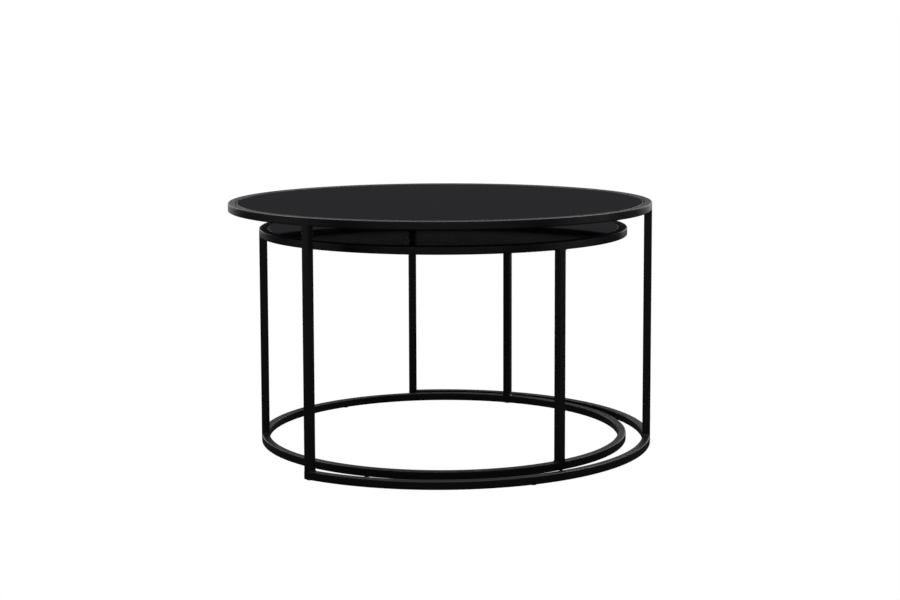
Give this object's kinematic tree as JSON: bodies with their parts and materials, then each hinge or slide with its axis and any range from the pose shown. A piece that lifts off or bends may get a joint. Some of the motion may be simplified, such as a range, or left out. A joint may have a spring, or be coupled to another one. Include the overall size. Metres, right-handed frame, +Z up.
{
  "type": "nesting tables",
  "caption": "Round black glass coffee tables on slim square-tube ring frames; the smaller nests under the larger and slides out through the gap in its base ring.",
  "frame": {"origin": "on the floor, under the centre of the large table", "axes": "+Z up from the floor, +X to the right and +Y to the back of the nested tables as they face the viewer; the small table slides out to the left, 173.25 degrees from +X"},
  "size_m": [0.8, 0.8, 0.46],
  "materials": {
    "frame_steel": "satin black powder coat on 15 mm square steel tube",
    "black_glass": "polished black tempered glass with a ground edge",
    "silicone_pad": "soft clear-grey silicone bumper",
    "plug_plastic": "moulded black polyethylene",
    "glide_felt": "dense black felt"
  },
  "bodies": {
    "large_table": {"large_arc_plug_back": "plug_plastic", "large_arc_plug_front": "plug_plastic", "large_base_arc": "frame_steel", "large_foot_glide_1": "glide_felt", "large_foot_glide_2": "glide_felt", "large_foot_glide_3": "glide_felt", "large_foot_glide_4": "glide_felt", "large_foot_glide_5": "glide_felt", "large_glass_pad_1": "silicone_pad", "large_glass_pad_2": "silicone_pad", "large_glass_pad_3": "silicone_pad", "large_glass_pad_4": "silicone_pad", "large_glass_pad_5": "silicone_pad", "large_glass_pad_6": "silicone_pad", "large_glass_tab_1": "frame_steel", "large_glass_tab_2": "frame_steel", "large_glass_tab_3": "frame_steel", "large_glass_tab_4": "frame_steel", "large_glass_tab_5": "frame_steel", "large_glass_tab_6": "frame_steel", "large_glass_top": "black_glass", "large_leg_back": "frame_steel", "large_leg_front": "frame_steel", "large_leg_right": "frame_steel", "large_top_ring": "frame_steel"},
    "small_table": {"small_base_ring": "frame_steel", "small_foot_glide_1": "glide_felt", "small_foot_glide_2": "glide_felt", "small_foot_glide_3": "glide_felt", "small_foot_glide_4": "glide_felt", "small_foot_glide_5": "glide_felt", "small_foot_glide_6": "glide_felt", "small_glass_pad_1": "silicone_pad", "small_glass_pad_2": "silicone_pad", "small_glass_pad_3": "silicone_pad", "small_glass_pad_4": "silicone_pad", "small_glass_pad_5": "silicone_pad", "small_glass_pad_6": "silicone_pad", "small_glass_tab_1": "frame_steel", "small_glass_tab_2": "frame_steel", "small_glass_tab_3": "frame_steel", "small_glass_tab_4": "frame_steel", "small_glass_tab_5": "frame_steel", "small_glass_tab_6": "frame_steel", "small_glass_top": "black_glass", "small_leg_back": "frame_steel", "small_leg_front": "frame_steel", "small_leg_left": "frame_steel", "small_top_ring": "frame_steel"}
  },
  "joints": [
    {"name": "small_table_slide", "type": "slide", "parent": "large_table", "child": "small_table", "axis": [-0.9931, 0.1175, 0], "range_m": [0, 0.8]}
  ]
}
